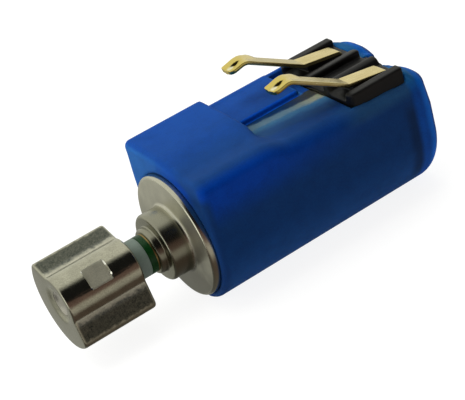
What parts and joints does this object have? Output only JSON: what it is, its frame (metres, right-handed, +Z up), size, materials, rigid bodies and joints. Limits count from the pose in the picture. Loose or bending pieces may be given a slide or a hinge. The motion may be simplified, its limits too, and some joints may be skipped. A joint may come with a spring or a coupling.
{
  "type": "vibration motor",
  "caption": "Cylindrical vibration motor in a rubber boot, with an eccentric weight on its shaft and spring contacts on top that press on a circuit board.",
  "frame": {"origin": "middle of the flat under the rubber boot", "axes": "+X along the motor axis from the weight towards the boot's closed end, +Y towards the boot's flat far side, +Z up towards the spring contacts"},
  "size_m": [0.0127, 0.0044, 0.0057],
  "materials": {
    "boot_rubber": "translucent royal-blue silicone rubber, satin",
    "case_steel": "nickel-plated drawn steel, satin to bright",
    "bearing_bronze": "oil-filled sintered bronze, matte",
    "magnet_alloy": "nickel-plated magnet, dull",
    "cap_plastic": "black engineering plastic, matte",
    "shaft_steel": "ground steel, bright",
    "brush_alloy": "precious-metal spring leaf, bright",
    "block_plastic": "black moulded plastic, satin",
    "contact_gold": "gold-plated spring strip, satin",
    "weight_alloy": "nickel-plated sintered tungsten alloy, satin",
    "grey_washer_plastic": "grey translucent plastic, matte",
    "green_washer_plastic": "green translucent plastic, glossy",
    "winding_copper": "enamelled copper wire, glossy",
    "hub_plastic": "olive moulded plastic, matte"
  },
  "bodies": {
    "stator": {"rubber_boot": "boot_rubber", "motor_can": "case_steel", "front_bearing": "bearing_bronze", "rear_bearing": "bearing_bronze", "magnet": "magnet_alloy", "end_cap": "cap_plastic", "thrust_plate": "shaft_steel", "near_brush": "brush_alloy", "far_brush": "brush_alloy", "terminal_block": "block_plastic", "near_contact_foot": "contact_gold", "far_contact_foot": "contact_gold"},
    "rotor": {"shaft": "shaft_steel", "counterweight": "weight_alloy", "grey_washer": "grey_washer_plastic", "green_washer": "green_washer_plastic", "rear_washer": "grey_washer_plastic", "winding": "winding_copper", "winding_hub": "hub_plastic", "commutator_segments": "contact_gold"},
    "near_contact": {"near_contact_arm": "contact_gold"},
    "far_contact": {"far_contact_arm": "contact_gold"}
  },
  "joints": [
    {"name": "rotor_spin", "type": "hinge", "parent": "stator", "child": "rotor", "pos_m": [-0.00445, 0, 0.00212], "axis": [1, 0, 0], "continuous": true},
    {"name": "near_contact_press", "type": "hinge", "parent": "stator", "child": "near_contact", "pos_m": [0.00177, -0.00116, 0.00455], "axis": [0, -1, 0], "range_deg": [0, 20], "stiffness_Nm_per_rad": 0.0043},
    {"name": "far_contact_press", "type": "hinge", "parent": "stator", "child": "far_contact", "pos_m": [0.00177, 0.00116, 0.00455], "axis": [0, -1, 0], "range_deg": [0, 20], "stiffness_Nm_per_rad": 0.0043}
  ]
}
